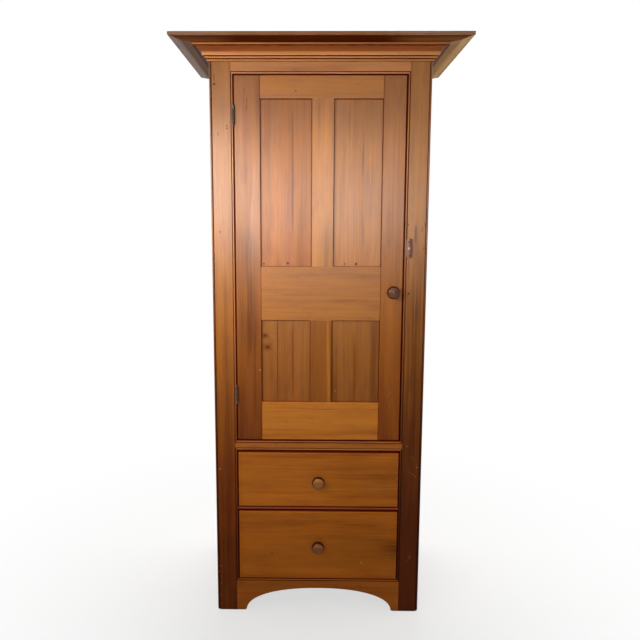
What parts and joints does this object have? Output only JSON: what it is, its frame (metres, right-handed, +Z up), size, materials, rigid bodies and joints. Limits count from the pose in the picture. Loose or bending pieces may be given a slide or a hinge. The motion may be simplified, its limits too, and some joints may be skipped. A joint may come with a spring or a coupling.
{
  "type": "chimney cupboard",
  "caption": "Tall narrow pine cupboard with a flared crown, a framed panel door on butt hinges with a turn button, and drawers over an arched apron.",
  "frame": {"origin": "on the floor, at the middle of the cupboard's overall width and depth", "axes": "+Z up, +X to the right as one faces the door, front of the cupboard towards -Y"},
  "size_m": [0.992, 0.635, 2.08],
  "materials": {
    "pine_case": "aged pine under old amber varnish, darker towards the floor",
    "pine_trim": "aged pine, orange varnish",
    "pine_crown": "dark aged pine, dull varnish",
    "pine_door": "aged pine, satin amber varnish",
    "pine_panel": "aged pine, satin amber varnish",
    "pine_drawer_front": "aged pine, satin amber varnish",
    "pine_inside": "bare aged pine",
    "knob_wood": "turned hardwood, polished by hands",
    "button_wood": "dark stained wood",
    "hinge_iron": "dark browned iron",
    "screw_iron": "worn bare iron"
  },
  "bodies": {
    "case": {"left_side": "pine_case", "right_side": "pine_case", "top_board": "pine_inside", "cupboard_floor": "pine_inside", "lower_shelf": "pine_inside", "middle_shelf": "pine_inside", "upper_shelf": "pine_inside", "back_boards": "pine_inside", "left_face_stile": "pine_case", "right_face_stile": "pine_case", "top_rail": "pine_case", "mid_rail": "pine_trim", "drawer_divider": "pine_trim", "apron": "pine_trim", "upper_drawer_runners": "pine_inside", "lower_drawer_runners": "pine_inside", "drawer_kickers": "pine_inside", "drawer_guides": "pine_inside", "drawer_stops": "pine_inside", "glue_blocks": "pine_inside", "door_stop": "pine_inside", "bed_mould_front": "pine_trim", "bed_mould_left": "pine_trim", "bed_mould_right": "pine_trim", "crown_front": "pine_crown", "crown_left": "pine_crown", "crown_right": "pine_crown", "hinge_case_leaves": "hinge_iron", "hinge_pins": "hinge_iron", "case_hinge_screws": "hinge_iron", "turn_button_screw": "screw_iron"},
    "door": {"door_hinge_stile": "pine_door", "door_latch_stile": "pine_door", "door_top_rail": "pine_door", "door_lock_rail": "pine_door", "door_bottom_rail": "pine_door", "door_upper_muntin": "pine_door", "door_lower_muntin": "pine_door", "door_knob": "knob_wood", "door_hinge_screws": "hinge_iron", "upper_left_panel": "pine_panel", "upper_right_panel": "pine_panel", "lower_left_panel": "pine_panel", "lower_right_panel": "pine_panel", "hinge_door_leaves": "hinge_iron"},
    "turn_button": {"turn_button": "button_wood"},
    "upper_drawer": {"upper_drawer_front": "pine_drawer_front", "upper_drawer_left_side": "pine_inside", "upper_drawer_right_side": "pine_inside", "upper_drawer_back": "pine_inside", "upper_drawer_bottom": "pine_inside", "upper_drawer_knob": "knob_wood"},
    "lower_drawer": {"lower_drawer_front": "pine_drawer_front", "lower_drawer_left_side": "pine_inside", "lower_drawer_right_side": "pine_inside", "lower_drawer_back": "pine_inside", "lower_drawer_bottom": "pine_inside", "lower_drawer_knob": "knob_wood"}
  },
  "joints": [
    {"name": "door_hinge", "type": "hinge", "parent": "case", "child": "door", "pos_m": [-0.29825, -0.2075, 1.3235], "axis": [0, 0, -1], "range_deg": [0, 175]},
    {"name": "turn_button_pivot", "type": "hinge", "parent": "case", "child": "turn_button", "pos_m": [0.316, -0.2075, 1.382], "axis": [0, 1, 0], "continuous": true},
    {"name": "upper_drawer_slide", "type": "slide", "parent": "case", "child": "upper_drawer", "axis": [0, -1, 0], "range_m": [0, 0.36]},
    {"name": "lower_drawer_slide", "type": "slide", "parent": "case", "child": "lower_drawer", "axis": [0, -1, 0], "range_m": [0, 0.36]}
  ]
}
